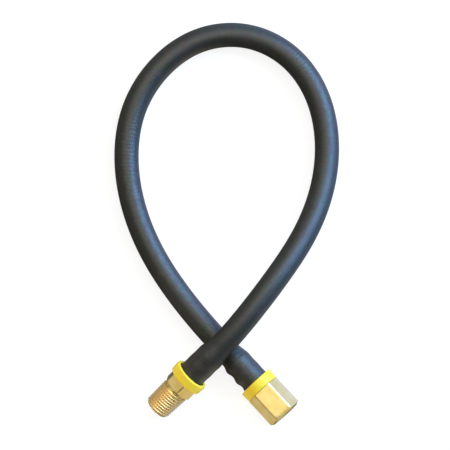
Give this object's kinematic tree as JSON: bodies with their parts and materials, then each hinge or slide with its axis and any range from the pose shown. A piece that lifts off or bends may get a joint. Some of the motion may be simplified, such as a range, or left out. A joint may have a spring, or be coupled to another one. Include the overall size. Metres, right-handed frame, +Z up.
{
  "type": "hose whip",
  "caption": "Short rubber air hose looped over itself, with a barbed brass fitting and plastic ring at each end: a male tapered pipe thread and a female threaded hexagon.",
  "frame": {"origin": "on the plane that the hose lies on, below the middle of the two end fittings", "axes": "+X out of the female fitting along its axis, +Z up; the male fitting points along -Y and slopes down"},
  "size_m": [0.1735, 0.1734, 0.0307],
  "materials": {
    "rubber": "matte black rubber with a fine cloth-wrap texture",
    "brass": "bright machined brass",
    "yellow_plastic": "satin moulded plastic"
  },
  "bodies": {
    "root": {"hose": "rubber", "male_fitting": "brass", "female_fitting": "brass", "male_ring": "yellow_plastic", "female_ring": "yellow_plastic"}
  },
  "joints": []
}
